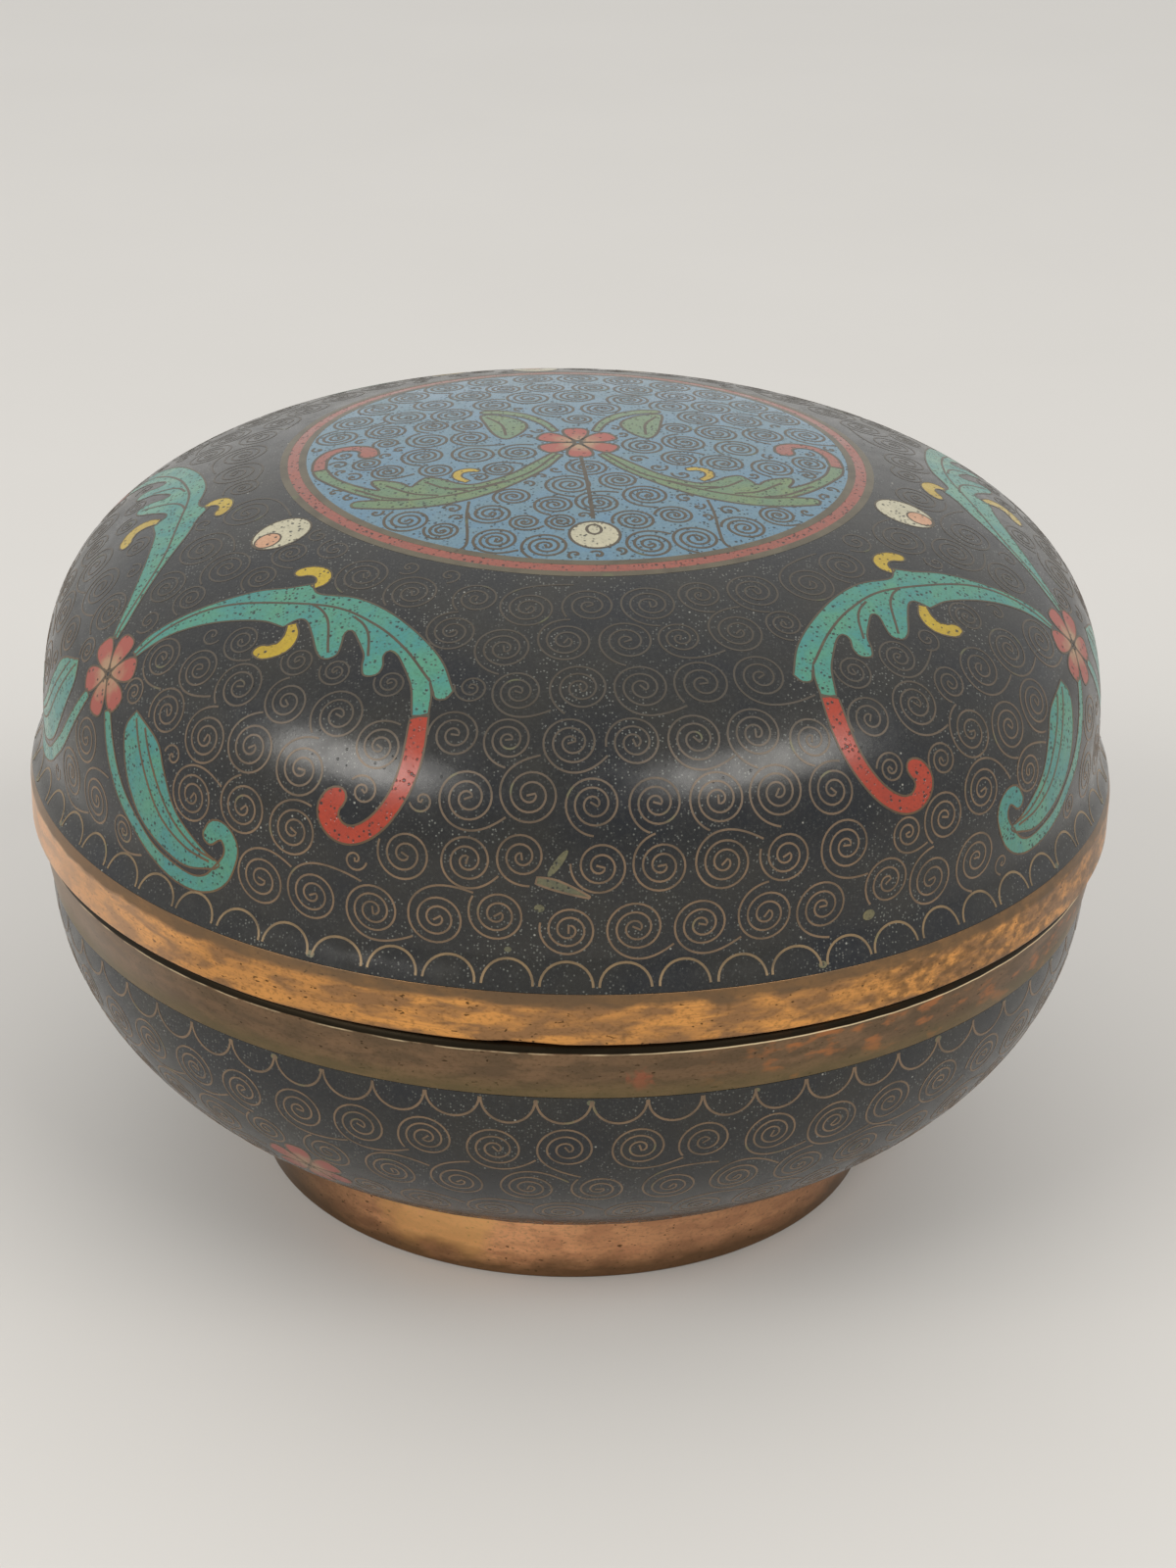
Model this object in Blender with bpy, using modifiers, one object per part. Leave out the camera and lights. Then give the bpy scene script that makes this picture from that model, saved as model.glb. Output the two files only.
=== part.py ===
# A round cloisonne enamel box: a domed lid that lifts off a bowl on a copper foot ring.
# Metres, +Z up. The origin is the middle of the foot's underside.

from math import acos, cos, hypot, pi, radians, sin, sqrt

import bpy

# Turning
turns_steps = 56  # flat faces round each turned piece
curve_steps = 240  # points on a curve before it is thinned out
sharp_angle = radians(32)
gap = 0.0003  # between two pieces that touch

# Lid
lid_band_radius = 0.0600
lid_band_height = 0.0056
lid_band_width = 0.0028  # inwards from the outer face
lid_band_chamfer_width = 0.00025
lid_band_chamfer_height = 0.0012
dome_height = 0.0345
dome_setback = 0.0017  # the dome's side stands this far inside the band
dome_side_power = 2.33  # over 2 is boxier than an ellipse
dome_crown_power = 3.5
cove_height = 0.0036  # the flare where the dome meets its band
lid_wall = 0.0022

# Base
base_band_setback = 0.0005  # the base band stands this far inside the lid band
base_band_height = 0.0063
base_band_taper = 0.0012  # how much narrower the band is at its lower edge
collar_clearance = 0.0004  # between the collar and the inside of the lid band
collar_height = 0.0050
collar_wall = 0.0012
bowl_setback = 0.0002
bowl_height = 0.0266
bowl_wall = 0.0022
underside_rise = 0.0020  # from the foot's seat up to where the bowl's side starts
underside_width = 0.0067

# Foot
foot_radius = 0.0353
foot_height = 0.0096  # from the table to the bowl's underside
foot_width = 0.0024
seat_margin = 0.0007  # flat seat outside the foot

# Edges
soft_edge = 0.0006  # the base band's worn upper edge
fine_edge = 0.0003

# Steps along the sections
dome_steps = 17
cove_steps = 3
dome_inside_steps = 12
bowl_steps = 11
bowl_inside_steps = 10
under_steps = 20

# Finishes, as linear colours
black = (0.012, 0.014, 0.018)
orange_copper = (0.62, 0.28, 0.10)
brown_copper = (0.26, 0.16, 0.08)
red_copper = (0.42, 0.20, 0.11)
enamel_roughness = 0.22
bright_roughness = 0.34
dull_roughness = 0.42

# Heights, from the table up
bowl_bottom = foot_height
bowl_top = bowl_bottom + bowl_height
base_band_bottom = bowl_top + gap
seat_height = base_band_bottom + base_band_height
lid_band_bottom = seat_height + gap
lid_band_top = lid_band_bottom + lid_band_height
dome_bottom = lid_band_top + gap

# Radii that follow from the sizes above
lid_band_top_radius = lid_band_radius - lid_band_chamfer_width
lid_band_inside = lid_band_radius - lid_band_width
dome_radius = lid_band_radius - dome_setback
base_band_radius = lid_band_radius - base_band_setback
base_band_low_radius = base_band_radius - base_band_taper
collar_radius = lid_band_inside - collar_clearance
collar_inside = collar_radius - collar_wall
bowl_radius = base_band_low_radius - bowl_setback
seat_radius = foot_radius + seat_margin
turn_radius = seat_radius + underside_width
foot_inside = foot_radius - foot_width


def clear_scene():
    for thing in list(bpy.data.objects):
        bpy.data.objects.remove(thing)


def new_collection(name):
    made = bpy.data.collections.new(name)
    bpy.context.scene.collection.children.link(made)
    return made


def finish(name, colour, roughness, metallic):
    made = bpy.data.materials.new(name)
    made.use_nodes = True
    shader = made.node_tree.nodes["Principled BSDF"]
    shader.inputs["Base Color"].default_value = (*colour, 1)
    shader.inputs["Roughness"].default_value = roughness
    shader.inputs["Metallic"].default_value = metallic
    return made


def evenly(points, steps):
    """The same line drawn with points at equal distances along it."""
    lengths = [0]
    for (r0, z0), (r1, z1) in zip(points, points[1:]):
        lengths.append(lengths[-1] + hypot(r1 - r0, z1 - z0))
    made = [points[0]]
    index = 0
    for step in range(1, steps):
        wanted = lengths[-1] * step / steps
        while lengths[index + 1] < wanted:
            index += 1
        share = (wanted - lengths[index]) / (lengths[index + 1] - lengths[index])
        (r0, z0), (r1, z1) = points[index], points[index + 1]
        made.append((r0 + share * (r1 - r0), z0 + share * (z1 - z0)))
    return made + [points[-1]]


def inside_of(points, wall):
    """A line one wall thickness to the right of the points, for a reader who walks along them."""
    made = []
    for index in range(len(points)):
        r0, z0 = points[max(index - 1, 0)]
        r1, z1 = points[min(index + 1, len(points) - 1)]
        length = hypot(r1 - r0, z1 - z0)
        r, z = points[index]
        made.append((r + wall * (z1 - z0) / length, z - wall * (r1 - r0) / length))
    return made


def rounded(corners, steps=2):
    """A closed section from (radius, height, rounding) corners."""
    made = []
    for index, (r, z, rounding) in enumerate(corners):
        if not rounding:
            made.append((r, z))
            continue
        before = corners[index - 1]
        after = corners[(index + 1) % len(corners)]
        towards = []
        for other_r, other_z, _ in (before, after):
            length = hypot(other_r - r, other_z - z)
            towards.append(((other_r - r) / length, (other_z - z) / length))
        (ar, az), (br, bz) = towards
        half_cosine = sqrt((1 + ar * br + az * bz) / 2)
        half_sine = sqrt(1 - half_cosine**2)
        middle_length = hypot(ar + br, az + bz)
        to_middle = rounding / half_sine
        middle = (r + to_middle * (ar + br) / middle_length, z + to_middle * (az + bz) / middle_length)
        to_tangent = rounding * half_cosine / half_sine
        first = (r + to_tangent * ar - middle[0], z + to_tangent * az - middle[1])
        last = (r + to_tangent * br - middle[0], z + to_tangent * bz - middle[1])
        for step in range(steps + 1):
            share = step / steps
            dr = first[0] + share * (last[0] - first[0])
            dz = first[1] + share * (last[1] - first[1])
            scale = rounding / hypot(dr, dz)
            made.append((middle[0] + scale * dr, middle[1] + scale * dz))
    return made


def turned(name, section, closed, material, home):
    """A section turned once round +Z. Its outer side runs from top to bottom."""
    edges = [(index, index + 1) for index in range(len(section) - 1)]
    if closed:
        edges.append((len(section) - 1, 0))
    outline = bpy.data.meshes.new(name + "_section")
    outline.from_pydata([(r, 0, z) for r, z in section], edges, [])
    made = bpy.data.objects.new(name, outline)
    home.objects.link(made)
    screw = made.modifiers.new("Turn", "SCREW")
    screw.axis = "Z"
    screw.angle = 2 * pi
    screw.steps = turns_steps
    screw.render_steps = turns_steps
    screw.use_merge_vertices = True
    screw.merge_threshold = 0.00001
    bpy.context.view_layer.update()
    graph = bpy.context.evaluated_depsgraph_get()
    solid = bpy.data.meshes.new_from_object(made.evaluated_get(graph))
    made.modifiers.clear()
    made.data = solid
    solid.name = name
    bpy.data.meshes.remove(outline)
    solid.shade_smooth()
    solid.set_sharp_from_angle(angle=sharp_angle)
    solid.materials.clear()
    solid.materials.append(material)
    return made


def dome_curve():
    """The dome's outer side from its top to its cove, as a superellipse."""
    cove_top = dome_bottom + cove_height
    points = []
    for step in range(curve_steps + 1):
        turn = pi / 2 * (1 - (step / curve_steps) ** 2)
        r = dome_radius * max(cos(turn), 0) ** (2 / dome_side_power)
        z = dome_bottom + dome_height * sin(turn) ** (2 / dome_crown_power)
        if z < cove_top:
            break
        points.append((r, z))
    points[0] = (0, dome_bottom + dome_height)
    return points


def cove_curve(start):
    """A quarter wave from the dome's side out to the band's upper edge."""
    points = []
    for step in range(1, curve_steps + 1):
        down = step / curve_steps
        out = 1 - cos(down * pi / 2)
        r = start[0] + out * (lid_band_top_radius - start[0])
        points.append((r, start[1] + down * (dome_bottom - start[1])))
    return points


def lid_shell(home, enamel):
    dome = dome_curve()
    cove = cove_curve(dome[-1])
    outside = evenly(dome, dome_steps) + evenly(cove, cove_steps)[1:]
    hollow = [(max(r, 0), z) for r, z in inside_of(dome + cove, lid_wall) if z > dome_bottom]
    hollow[0] = (0, dome_bottom + dome_height - lid_wall)
    hollow.append((hollow[-1][0], dome_bottom))
    inside = evenly(hollow, dome_inside_steps)
    turned("lid_shell", outside + inside[::-1], False, enamel, home)


def lid_band(home, copper):
    section = rounded(
        [
            (lid_band_top_radius, lid_band_top, 0),
            (lid_band_radius, lid_band_top - lid_band_chamfer_height, 0),
            (lid_band_radius, lid_band_bottom, fine_edge),
            (lid_band_inside, lid_band_bottom, fine_edge),
            (lid_band_inside, lid_band_top, 0),
        ]
    )
    turned("lid_band", section, True, copper, home)


def base_band(home, copper):
    """The bare band and the collar that stands up from it, which the lid's band fits over."""
    collar_top = seat_height + collar_height
    section = rounded(
        [
            (base_band_radius, seat_height, soft_edge),
            (base_band_low_radius, base_band_bottom, 0),
            (collar_inside, base_band_bottom, 0),
            (collar_inside, collar_top, fine_edge),
            (collar_radius, collar_top, fine_edge),
            (collar_radius, seat_height, 0),
        ]
    )
    turned("base_band", section, True, copper, home)


def bowl_side():
    """The bowl's outer side, a stretch of an ellipse from its upper edge down to where it turns under."""
    side_height = bowl_height - underside_rise
    ellipse_depth = side_height / sqrt(1 - (turn_radius / bowl_radius) ** 2)
    last_angle = acos(turn_radius / bowl_radius)
    points = []
    for step in range(curve_steps + 1):
        angle = last_angle * step / curve_steps
        points.append((bowl_radius * cos(angle), bowl_top - ellipse_depth * sin(angle)))
    return points


def base_bowl(home, enamel):
    side = bowl_side()
    seat_edge = (seat_radius, bowl_bottom)
    middle = (0, bowl_bottom)
    underside = evenly([side[-1], seat_edge], under_steps)[1:] + evenly([seat_edge, middle], under_steps)[1:]
    hollow = inside_of(side + underside, bowl_wall)
    hollow[-1] = (0, bowl_bottom + bowl_wall)
    inside = evenly(hollow, bowl_inside_steps)
    outside = evenly(side, bowl_steps) + [seat_edge, middle]
    turned("base_bowl", inside[::-1] + outside, False, enamel, home)


def foot_ring(home, copper):
    foot_top = bowl_bottom - gap
    section = rounded(
        [
            (foot_radius, foot_top, 0),
            (foot_radius, 0, fine_edge),
            (foot_inside, 0, fine_edge),
            (foot_inside, foot_top, 0),
        ]
    )
    turned("foot_ring", section, True, copper, home)


def cloisonne_box():
    clear_scene()
    home = new_collection("cloisonne_box")
    lid_shell(home, finish("lid_enamel", black, enamel_roughness, 0))
    lid_band(home, finish("lid_band_copper", orange_copper, bright_roughness, 1))
    base_bowl(home, finish("bowl_enamel", black, enamel_roughness, 0))
    base_band(home, finish("base_band_copper", brown_copper, dull_roughness, 1))
    foot_ring(home, finish("foot_copper", red_copper, dull_roughness, 1))


cloisonne_box()
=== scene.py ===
# The looks of a round cloisonne enamel box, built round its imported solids.
# Metres, +Z up. Azimuths start at -Y, the side that faces the camera, and grow towards +X.
# Patterns are drawn in millimetres, x to the right and y towards the middle of the lid.

from functools import partial
from math import acos, cos, pi, radians, sin, sqrt, tau

import bpy
import numpy as np
from mathutils import Matrix, Vector, kdtree
from mathutils.geometry import delaunay_2d_cdt


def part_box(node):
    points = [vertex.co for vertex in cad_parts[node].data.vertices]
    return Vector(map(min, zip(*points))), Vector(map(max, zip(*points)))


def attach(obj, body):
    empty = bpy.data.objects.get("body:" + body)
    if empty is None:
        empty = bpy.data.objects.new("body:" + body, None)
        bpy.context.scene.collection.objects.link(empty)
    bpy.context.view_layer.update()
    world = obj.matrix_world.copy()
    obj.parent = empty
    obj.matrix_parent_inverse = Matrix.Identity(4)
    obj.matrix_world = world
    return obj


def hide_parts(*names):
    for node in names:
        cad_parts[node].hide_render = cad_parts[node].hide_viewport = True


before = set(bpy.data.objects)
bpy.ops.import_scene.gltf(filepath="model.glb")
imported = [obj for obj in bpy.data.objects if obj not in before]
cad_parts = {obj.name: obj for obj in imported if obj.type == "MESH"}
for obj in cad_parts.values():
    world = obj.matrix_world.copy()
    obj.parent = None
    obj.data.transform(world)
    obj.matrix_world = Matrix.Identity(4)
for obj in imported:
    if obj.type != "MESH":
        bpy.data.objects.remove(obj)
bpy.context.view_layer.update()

mm = 0.001
random = np.random.default_rng(11)

# Sizes that the solids give
lid_low, lid_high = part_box("lid_shell")
lid_band_low, lid_band_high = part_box("lid_band")
base_band_low, base_band_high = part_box("base_band")
bowl_low, bowl_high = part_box("base_bowl")
foot_low, foot_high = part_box("foot_ring")

# Sizes that their boxes don't give, as in the solids
wall = 2.2 * mm
dome_setback = 1.7 * mm
dome_side_power = 2.33
dome_crown_power = 3.5
cove_height = 3.6 * mm
lid_band_width = 2.8 * mm
lid_band_chamfer_height = 1.2 * mm
base_band_taper = 1.2 * mm
collar_clearance = 0.4 * mm
collar_height = 5.0 * mm
collar_wall = 1.2 * mm
seat_margin = 0.7 * mm
underside_rise = 2.0 * mm
underside_width = 6.7 * mm
foot_width = 2.4 * mm
worn_edge = 1.1 * mm  # the base band's upper edge, rubbed rounder than in the solid
fine_edge = 0.3 * mm
seam_cover = 0.25 * mm  # how far the gap between enamel and band is closed

# Layers, measured from the solids' skin
enamel_depth = 0.022 * mm
first_inlay_depth = 0.013 * mm
second_inlay_depth = 0.006 * mm
inlay_thickness = 0.2 * mm
wire_top_depth = 0.002 * mm
wire_depth = 0.3 * mm

# How finely things are drawn
turns_steps = 256
curve_steps = 400
cove_steps = 20
bowl_steps = 100
under_steps = 10
wall_steps = 120
corner_steps = 6
ring_steps = 180
oval_steps = 30
petal_steps = 10
arch_steps = 16
end_steps = 8  # round the end of a band
arm_steps = 23
smooth_steps = 12  # between two stops of a drawn line, before it is spaced
outline_step = 0.35  # millimetres between the points of a drawn line
fill_step = 0.6  # millimetres between the points inside an inlay
sag = 0.015  # millimetres by which a spiral's straight steps may miss its curve
sharp_angle = radians(38)

# Widths of the wires, in millimetres
wire_width = 0.21
rib_width = 0.27
scallop_wire_width = 0.25
top_wire_width = 0.32
bud_stem_width = 0.42
ring_wire_width = 0.85


# The sides that the patterns lie on

class Side:
    """A turned side. A place on it is an azimuth and a length along its section, from the top."""

    def __init__(self, section):
        self.section = np.array(section)
        steps = np.hypot(*np.diff(self.section, axis=0).T)
        self.along = np.concatenate([[0], np.cumsum(steps)])
        ahead = np.gradient(self.section, self.along, axis=0)
        outward = np.column_stack([-ahead[:, 1], ahead[:, 0]])
        self.outward = outward / np.linalg.norm(outward, axis=1)[:, None]

    def radius(self, along):
        return np.interp(along, self.along, self.section[:, 0])

    def section_at(self, along, lift):
        flat = []
        for axis in (0, 1):
            middle = np.interp(along, self.along, self.section[:, axis])
            out = np.interp(along, self.along, self.outward[:, axis])
            flat.append(middle + lift * out)
        return np.column_stack(flat)

    def place(self, azimuth, along, lift=0.0):
        radius, height = self.section_at(np.atleast_1d(along), lift).T
        return np.column_stack([radius * np.sin(azimuth), -radius * np.cos(azimuth), height])


def dome_section():
    """The dome's superellipse and the cove that flares out to the band."""
    height = lid_high.z - lid_low.z
    radius = lid_band_high.x - dome_setback
    points = [(0, lid_high.z)]
    for step in range(1, curve_steps + 1):
        turn = pi / 2 * (1 - (step / curve_steps) ** 2)
        z = lid_low.z + height * sin(turn) ** (2 / dome_crown_power)
        if z < lid_low.z + cove_height:
            break
        points.append((radius * cos(turn) ** (2 / dome_side_power), z))
    start_radius, start_height = points[-1]
    for step in range(1, cove_steps + 1):
        down = step / cove_steps
        out = 1 - cos(down * pi / 2)
        r = start_radius + out * (lid_high.x - start_radius)
        points.append((r, start_height + down * (lid_low.z - start_height)))
    return points


def bowl_section():
    """The bowl's ellipse, then the straight turn-under to the foot's seat."""
    turn_radius = foot_high.x + seat_margin + underside_width
    last_angle = acos(turn_radius / bowl_high.x)
    depth = (bowl_high.z - bowl_low.z - underside_rise) / sin(last_angle)
    points = []
    for step in range(bowl_steps + 1):
        angle = last_angle * step / bowl_steps
        points.append((bowl_high.x * cos(angle), bowl_high.z - depth * sin(angle)))
    seat = (foot_high.x + seat_margin, bowl_low.z)
    for step in range(1, under_steps + 1):
        share = step / under_steps
        points.append(tuple(a + share * (b - a) for a, b in zip(points[bowl_steps], seat)))
    return points


dome = Side(dome_section())
bowl = Side(bowl_section())


# Finishes

class Finish:
    """A material whose nodes are added step by step. Patterns are sized in millimetres."""

    def __init__(self, name, colour):
        self.material = bpy.data.materials.new(name)
        self.material.use_nodes = True
        self.tree = self.material.node_tree
        self.shader = self.tree.nodes["Principled BSDF"]
        self.colour = (*colour, 1)
        places = self.add("ShaderNodeTexCoord", {}, "Object", {})
        self.place = self.add("ShaderNodeVectorMath", {"operation": "SCALE"}, "Vector", {
            0: places, "Scale": 1 / mm,
        })

    def add(self, kind, settings, output, inputs):
        node = self.tree.nodes.new(kind)
        for name, value in settings.items():
            setattr(node, name, value)
        self.feed(node, inputs)
        return node.outputs[output]

    def feed(self, node, inputs):
        for name, value in inputs.items():
            if isinstance(value, bpy.types.NodeSocket):
                self.tree.links.new(value, node.inputs[name])
            else:
                node.inputs[name].default_value = value

    def set(self, **inputs):
        self.feed(self.shader, {name.replace("_", " "): value for name, value in inputs.items()})

    def tint(self, share, colour):
        """This share of another colour over the colours before it."""
        self.colour = self.add("ShaderNodeMix", {"data_type": "RGBA"}, 2, {
            "Factor": share, 6: self.colour, 7: (*colour, 1),
        })
        self.set(Base_Color=self.colour)

    def stretched(self, across, up):
        """Places for a pattern whose marks are this long across and this tall."""
        return self.add("ShaderNodeVectorMath", {"operation": "MULTIPLY"}, "Vector", {
            0: self.place, 1: (1 / across, 1 / across, 1 / up),
        })

    def noise(self, size, detail, up=None, distortion=0.0):
        return self.add("ShaderNodeTexNoise", {}, "Fac", {
            "Vector": self.stretched(size, up or size),
            "Scale": 1.0, "Detail": detail, "Distortion": distortion,
        })

    def between(self, value, low, high, first=0.0, last=1.0):
        """The value carried from the range low to high over to the range first to last."""
        return self.add("ShaderNodeMapRange", {"clamp": True}, "Result", {
            "Value": value, "From Min": low, "From Max": high, "To Min": first, "To Max": last,
        })

    def along(self, axis):
        return self.add("ShaderNodeSeparateXYZ", {}, axis, {"Vector": self.place})

    def ramp(self, axis, start, end, last=1.0):
        """0 at one place along an axis, and the last value at another."""
        return self.between(self.along(axis), start, end, 0, last)

    def math(self, operation, first, second):
        return self.add("ShaderNodeMath", {"operation": operation}, "Value", {0: first, 1: second})

    def times(self, first, second):
        return self.math("MULTIPLY", first, second)

    def spots(self, spacing, size, share):
        """Small round marks. Only this share of the cells holds one."""
        cells = self.tree.nodes.new("ShaderNodeTexVoronoi")
        self.feed(cells, {"Vector": self.stretched(spacing, spacing), "Scale": 1.0})
        mark = self.between(cells.outputs["Distance"], size, size * 0.55)
        red = self.add("ShaderNodeSeparateColor", {}, "Red", {"Color": cells.outputs["Color"]})
        return self.times(mark, self.math("LESS_THAN", red, share))

    def bump(self, height, depth, before=None):
        inputs = {"Height": height, "Distance": depth * mm, "Strength": 1.0}
        if before is not None:
            inputs["Normal"] = before
        return self.add("ShaderNodeBump", {}, "Normal", inputs)

    def near(self, point, reach):
        """1 round a point in space, falling to 0 at this reach from it, with a ragged edge."""
        distance = self.add("ShaderNodeVectorMath", {"operation": "DISTANCE"}, "Value", {
            0: self.place, 1: point,
        })
        ragged = self.between(self.noise(reach / 2, 4.0), 0.3, 0.7, -0.4 * reach, 0.4 * reach)
        return self.between(self.math("ADD", distance, ragged), reach, 0.5 * reach)

    def uneven_height(self, error):
        """Height in millimetres with a wandering error, for edges that aren't ruled."""
        wander = self.between(self.noise(4.0, 3.0, up=1.5), 0.2, 0.8, -error, error)
        return self.math("ADD", self.along("Z"), wander)


def black_enamel():
    """Black glass enamel with a worn gloss, fine pits and pale specks."""
    made = Finish("black_enamel", (0.0045, 0.0060, 0.0090))
    made.tint(made.between(made.noise(9.0, 4.0), 0.35, 0.65), (0.0135, 0.0130, 0.0110))
    grain = made.noise(0.35, 2.0)
    made.tint(made.between(grain, 0.50, 0.75, 0, 0.6), (0.028, 0.029, 0.027))
    dust = made.between(made.noise(7.0, 4.0), 0.42, 0.62, 0.15, 0.9)
    made.tint(made.times(made.spots(0.32, 0.36, 0.42), dust), (0.14, 0.145, 0.13))
    made.tint(made.times(made.spots(1.6, 0.085, 0.25), 0.7), (0.36, 0.36, 0.32))
    wear = made.noise(2.2, 5.0)
    relief = made.bump(grain, 0.005)
    relief = made.bump(made.spots(0.9, 0.16, 0.35), -0.04, relief)
    made.set(Roughness=made.between(wear, 0.3, 0.7, 0.17, 0.31), Normal=relief)
    return made.material


def coloured_enamel(name, colour, second, pit_share=0.50):
    """Glass enamel between two shades, with the black pinholes that firing leaves."""
    made = Finish(name, colour)
    cloud = made.noise(3.5, 4.0, distortion=0.6)
    made.tint(made.between(cloud, 0.35, 0.65), second)
    grain = made.noise(0.3, 2.0)
    made.tint(made.between(grain, 0.45, 0.75, 0, 0.6), tuple(0.60 * channel for channel in colour))
    clusters = made.between(made.noise(2.5, 3.0), 0.36, 0.56, 0.4, 1.0)
    small_pits = made.times(made.spots(0.42, 0.38, pit_share), clusters)
    pits = made.math("MAXIMUM", small_pits, made.spots(0.8, 0.27, 0.55))
    made.tint(made.times(pits, 0.92), (0.012, 0.014, 0.013))
    relief = made.bump(grain, 0.004)
    relief = made.bump(pits, -0.05, relief)
    made.set(Roughness=made.between(cloud, 0.3, 0.7, 0.20, 0.34), Normal=relief)
    return made.material


def petal_enamel():
    """Coral at a petal's tip, fading to cream towards the flower's middle."""
    made = Finish("petal_enamel", (0.31, 0.195, 0.110))
    tip = made.add("ShaderNodeAttribute", {"attribute_name": "tip"}, "Fac", {})
    cloud = made.noise(1.2, 3.0)
    fade = made.math("ADD", tip, made.between(cloud, 0.2, 0.8, -0.25, 0.25))
    made.tint(made.between(fade, 0.22, 0.66), (0.28, 0.060, 0.042))
    pits = made.spots(0.6, 0.34, 0.35)
    made.tint(made.times(pits, 0.85), (0.03, 0.015, 0.012))
    made.set(Roughness=0.34, Normal=made.bump(pits, -0.04))
    return made.material


def wire_metal(name, low_colour, high_colour):
    """Thin copper wires, polished flush and dulled since, and darker high on the lid."""
    made = Finish(name, low_colour)
    made.tint(made.ramp("Z", 60.0, 74.0), high_colour)
    made.tint(made.between(made.noise(2.5, 3.0), 0.40, 0.70, 0, 0.6), (0.050, 0.040, 0.028))
    made.tint(made.times(made.spots(3.0, 0.25, 0.25), 0.4), (0.13, 0.15, 0.07))
    made.set(Metallic=0.25, Roughness=0.38)
    return made.material


def copper(name, light, dark, patina, roughness):
    """Turned copper with patches drawn out round it, fine lines from the turning and dark flecks."""
    made = Finish(name, light)
    cloud = made.noise(14.0, 3.0, up=9.0)
    patches = made.noise(4.5, 5.0, up=1.4, distortion=0.3)
    lines = made.noise(5.0, 3.0, up=0.10)
    grain = made.noise(0.5, 3.0, up=0.28)
    flecks = made.noise(0.7, 1.0, up=0.34)
    made.tint(made.between(patches, 0.42, 0.60), dark)
    made.tint(made.between(cloud, 0.45, 0.60, 0, 0.35), dark)
    made.tint(made.between(lines, 0.50, 0.68, 0, 0.35), dark)
    made.tint(made.between(grain, 0.50, 0.70, 0, 0.45), patina)
    made.tint(made.between(flecks, 0.70, 0.75, 0, 0.85), (0.045, 0.028, 0.014))
    relief = made.bump(lines, 0.006)
    relief = made.bump(grain, 0.005, relief)
    made.set(Metallic=1.0, Roughness=made.between(cloud, 0.3, 0.7, *roughness), Normal=relief)
    return made


def lid_band_copper():
    """Bright copper with a painted pale reflection at its left end, mottled on its right and browner
    along its upper edge.
    """
    made = copper(
        "lid_band_copper", (0.78, 0.37, 0.11), (0.33, 0.18, 0.085), (0.15, 0.085, 0.04),
        (0.26, 0.42),
    )
    mottled = made.between(made.noise(1.3, 5.0, up=0.9), 0.42, 0.60, 0, 0.75)
    made.tint(made.times(made.ramp("X", 22, 34), mottled), (0.17, 0.10, 0.05))
    # Painted reflection: the left end is paled as if it mirrored the bright room at a grazing angle.
    made.tint(made.ramp("X", -36, -54, 0.47), (1.0, 0.64, 0.42))
    edge = (lid_band_high.z - lid_band_chamfer_height) / mm
    strip = made.between(made.uneven_height(0.45), edge - 0.30, edge + 0.20, 0, 0.84)
    made.tint(strip, (0.160, 0.108, 0.066))
    return made.material


def base_band_copper():
    """Brown patina, olive low down, with rubbed red patches, a painted pale reflection at its left end,
    painted shade in the seam under the lid band and a painted highlight line along the worn edge.
    """
    made = copper(
        "base_band_copper", (0.24, 0.150, 0.088), (0.155, 0.105, 0.065), (0.10, 0.072, 0.040),
        (0.36, 0.50),
    )
    rubbed = made.between(made.noise(3.0, 5.0, up=1.3), 0.54, 0.66)
    made.tint(made.times(made.ramp("X", 12, 22), rubbed), (0.40, 0.17, 0.07))
    made.tint(made.times(made.near((7.6, -58.5, 38.5), 1.5), 0.6), (0.38, 0.12, 0.07))
    # Painted reflection: the left end is paled as if it mirrored the bright room at a grazing angle.
    made.tint(made.ramp("X", -36, -56, 0.6), (0.42, 0.33, 0.26))
    low = base_band_low.z / mm
    olive = made.between(made.uneven_height(0.35), low + 2.2, low + 0.4, 0, 0.5)
    made.tint(olive, (0.17, 0.14, 0.065))
    # Painted shade: the top of the worn edge is darkened to near black in the seam under the lid band's
    # overhang.
    line = (base_band_high.z - collar_height - worn_edge) / mm
    height = made.uneven_height(0.06)
    above_line = made.between(height, line + 0.02, line + 0.10)
    below_collar = made.ramp("Z", line + 1.3, line + 1.2, 0.96)
    made.tint(made.times(above_line, below_collar), (0.014, 0.012, 0.008))
    # Painted highlight: a thin bright line at the lower end of the worn edge, broken up and stronger
    # towards the right.
    from_below = made.between(height, line - 0.12, line - 0.06)
    from_above = made.between(height, line + 0.08, line + 0.02)
    broken = made.between(made.noise(3.0, 4.0), 0.42, 0.60, 0, 0.5)
    painted_highlight_share = made.math("MAXIMUM", broken, made.ramp("X", 4, 12, 0.8))
    made.tint(made.times(made.times(from_below, from_above), painted_highlight_share), (0.95, 0.78, 0.50))
    return made.material


def foot_copper():
    """Redder copper, with a painted orange highlight on the left of the front, a painted dark
    reflection on its left, and browner along its lower edge.
    """
    made = copper(
        "foot_copper", (1.0, 0.53, 0.27), (0.72, 0.36, 0.19), (0.36, 0.20, 0.11), (0.28, 0.42),
    )
    made.tint(made.between(made.noise(24.0, 2.0), 0.50, 0.66, 0, 0.45), (0.24, 0.135, 0.075))
    # Painted highlight: an orange glow on the left of the front, near the top.
    made.tint(made.times(made.near((-14, -32, 8), 9), 0.7), (1.0, 0.57, 0.22))
    # Painted reflection: the left side is darkened as if it mirrored a darker part of the room.
    made.tint(made.ramp("X", -17, -29, 0.75), (0.14, 0.095, 0.055))
    made.tint(made.ramp("X", 6, 18, 0.35), (0.34, 0.19, 0.12))
    made.tint(made.between(made.uneven_height(0.9), 3.4, 0.9, 0, 0.86), (0.15, 0.095, 0.052))
    return made.material


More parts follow.
